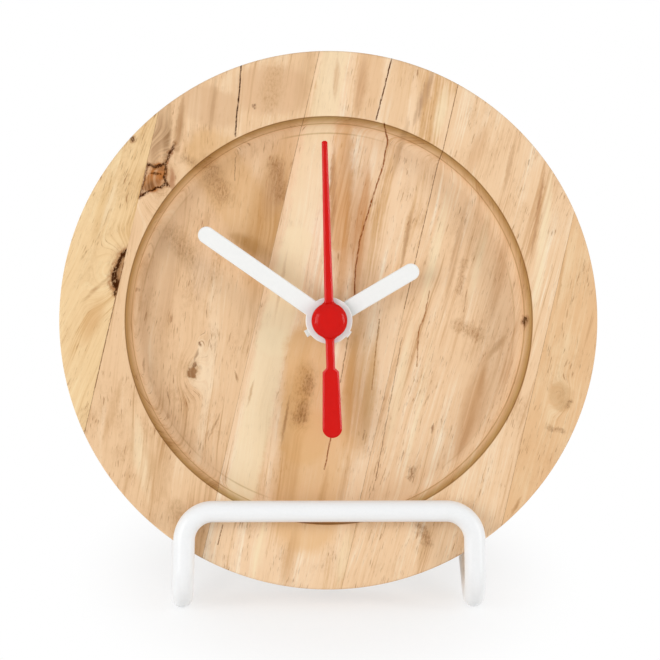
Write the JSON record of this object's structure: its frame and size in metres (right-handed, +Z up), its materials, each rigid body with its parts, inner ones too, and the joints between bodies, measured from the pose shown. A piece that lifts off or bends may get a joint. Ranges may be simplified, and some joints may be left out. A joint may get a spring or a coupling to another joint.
{
  "type": "table clock",
  "caption": "Round wooden table clock with a bare turned dial and coloured hands, driven by a quartz movement and leaning in a bent white rod stand.",
  "frame": {"origin": "on the table, under the middle of the stand's footprint", "axes": "+Z up, the dial faces -Y and leans back, +X to the right of the dial"},
  "size_m": [0.15, 0.074, 0.1519],
  "materials": {
    "teak": "satin",
    "white_coat": "satin",
    "white_paint": "satin",
    "red_plastic": "gloss",
    "brass": "satin",
    "steel": "satin",
    "rubber": "matte",
    "black_plastic": "matte",
    "gear_plastic": "satin",
    "board": "satin",
    "copper": "gloss",
    "cell_wrap": "satin",
    "magnet": "matte"
  },
  "bodies": {
    "stand": {"stand": "white_coat"},
    "clock": {"stave_far_left": "teak", "stave_left": "teak", "stave_middle": "teak", "stave_right": "teak", "stave_far_right": "teak", "centre_bush": "brass", "hex_nut": "brass", "dial_washer": "brass", "rubber_washer": "rubber", "front_case": "black_plastic", "rear_cover": "black_plastic", "positive_contact": "steel", "negative_contact": "steel", "circuit_board": "board", "quartz_crystal": "steel", "control_chip": "black_plastic", "stator": "steel", "coil_core": "steel", "coil_bobbin": "gear_plastic", "coil_winding": "copper"},
    "hour": {"hour_hand": "white_paint", "hour_wheel": "gear_plastic"},
    "minute": {"minute_hand": "white_paint", "minute_tube": "gear_plastic"},
    "second": {"second_hand": "red_plastic", "second_sleeve": "brass", "second_wheel": "gear_plastic"},
    "rotor": {"rotor": "magnet"},
    "fifth_wheel": {"fifth_wheel": "gear_plastic"},
    "third_wheel": {"third_wheel": "gear_plastic"},
    "centre_wheel": {"centre_wheel": "gear_plastic"},
    "motion_wheel": {"motion_wheel": "gear_plastic"},
    "setting_knob": {"setting_knob": "gear_plastic"},
    "battery": {"battery": "cell_wrap"}
  },
  "joints": [
    {"name": "clock_lift", "type": "slide", "parent": "stand", "child": "clock", "axis": [0, 0.2419, 0.9703], "range_m": [0, 0.03]},
    {"name": "minute_turn", "type": "hinge", "parent": "clock", "child": "minute", "pos_m": [0, -0.00121, 0.07614], "axis": [0, 0.9703, -0.2419], "continuous": true},
    {"name": "hour_turn", "type": "hinge", "parent": "clock", "child": "hour", "pos_m": [0, -0.00121, 0.07614], "axis": [0, 0.9703, -0.2419], "continuous": true},
    {"name": "motion_turn", "type": "hinge", "parent": "clock", "child": "motion_wheel", "pos_m": [-0.0075, -0.00121, 0.07614], "axis": [0, 0.9703, -0.2419], "continuous": true},
    {"name": "setting_turn", "type": "hinge", "parent": "clock", "child": "setting_knob", "pos_m": [-0.01125, 0.00037, 0.08244], "axis": [0, 0.9703, -0.2419], "continuous": true},
    {"name": "second_turn", "type": "hinge", "parent": "clock", "child": "second", "pos_m": [0, -0.00121, 0.07614], "axis": [0, 0.9703, -0.2419], "continuous": true},
    {"name": "fifth_turn", "type": "hinge", "parent": "clock", "child": "fifth_wheel", "pos_m": [-0.00165, 0.00106, 0.08521], "axis": [0, 0.9703, -0.2419], "continuous": true},
    {"name": "rotor_turn", "type": "hinge", "parent": "clock", "child": "rotor", "pos_m": [0.00634, 0.00176, 0.08804], "axis": [0, 0.9703, -0.2419], "continuous": true},
    {"name": "third_turn", "type": "hinge", "parent": "clock", "child": "third_wheel", "pos_m": [0.0085, -0.00121, 0.07614], "axis": [0, 0.9703, -0.2419], "continuous": true},
    {"name": "centre_turn", "type": "hinge", "parent": "clock", "child": "centre_wheel", "pos_m": [0, -0.00121, 0.07614], "axis": [0, 0.9703, -0.2419], "continuous": true},
    {"name": "battery_slide", "type": "slide", "parent": "clock", "child": "battery", "axis": [0, 0.9703, -0.2419], "range_m": [0, 0.02]}
  ],
  "couplings": [
    {"joint": "hour_turn", "follows": "minute_turn", "ratio": 0.083333},
    {"joint": "motion_turn", "follows": "minute_turn", "ratio": -0.33333},
    {"joint": "setting_turn", "follows": "minute_turn", "ratio": 1},
    {"joint": "fifth_turn", "follows": "second_turn", "ratio": -4},
    {"joint": "rotor_turn", "follows": "second_turn", "ratio": 30},
    {"joint": "third_turn", "follows": "second_turn", "ratio": -0.13333},
    {"joint": "centre_turn", "follows": "second_turn", "ratio": 0.016667}
  ]
}
